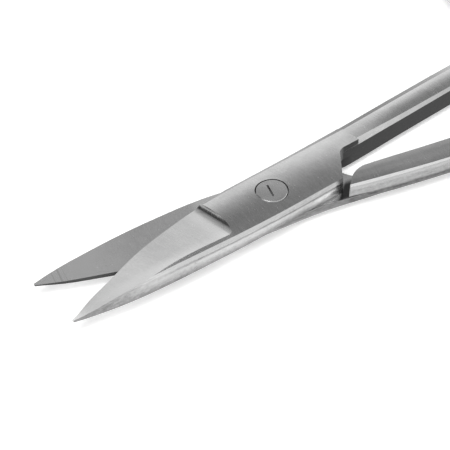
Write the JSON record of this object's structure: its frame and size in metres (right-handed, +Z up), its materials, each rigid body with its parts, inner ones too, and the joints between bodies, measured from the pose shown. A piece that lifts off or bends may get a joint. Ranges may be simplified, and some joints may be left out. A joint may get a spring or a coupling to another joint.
{
  "type": "toenail scissors",
  "caption": "Small ground steel scissors with short straight pointed blades, a slotted pivot screw, slender shanks and round finger rings.",
  "frame": {"origin": "centre of the bounding box, on the surface that the scissors lie on", "axes": "+X from the tips to the finger rings, +Z up along the pivot axis, +Y to the side of the upper half's ring"},
  "size_m": [0.1068, 0.0687, 0.0049],
  "materials": {
    "satin_steel": "fine satin grinding",
    "screw_steel": "ground flush with the box"
  },
  "bodies": {
    "lower": {"lower_half": "satin_steel", "pivot_screw": "screw_steel"},
    "upper": {"upper_half": "satin_steel"}
  },
  "joints": [
    {"name": "pivot", "type": "hinge", "parent": "lower", "child": "upper", "pos_m": [-0.0188, 0.00069, 0.00245], "axis": [0, 0, 1], "range_deg": [-15.1, 50]}
  ]
}
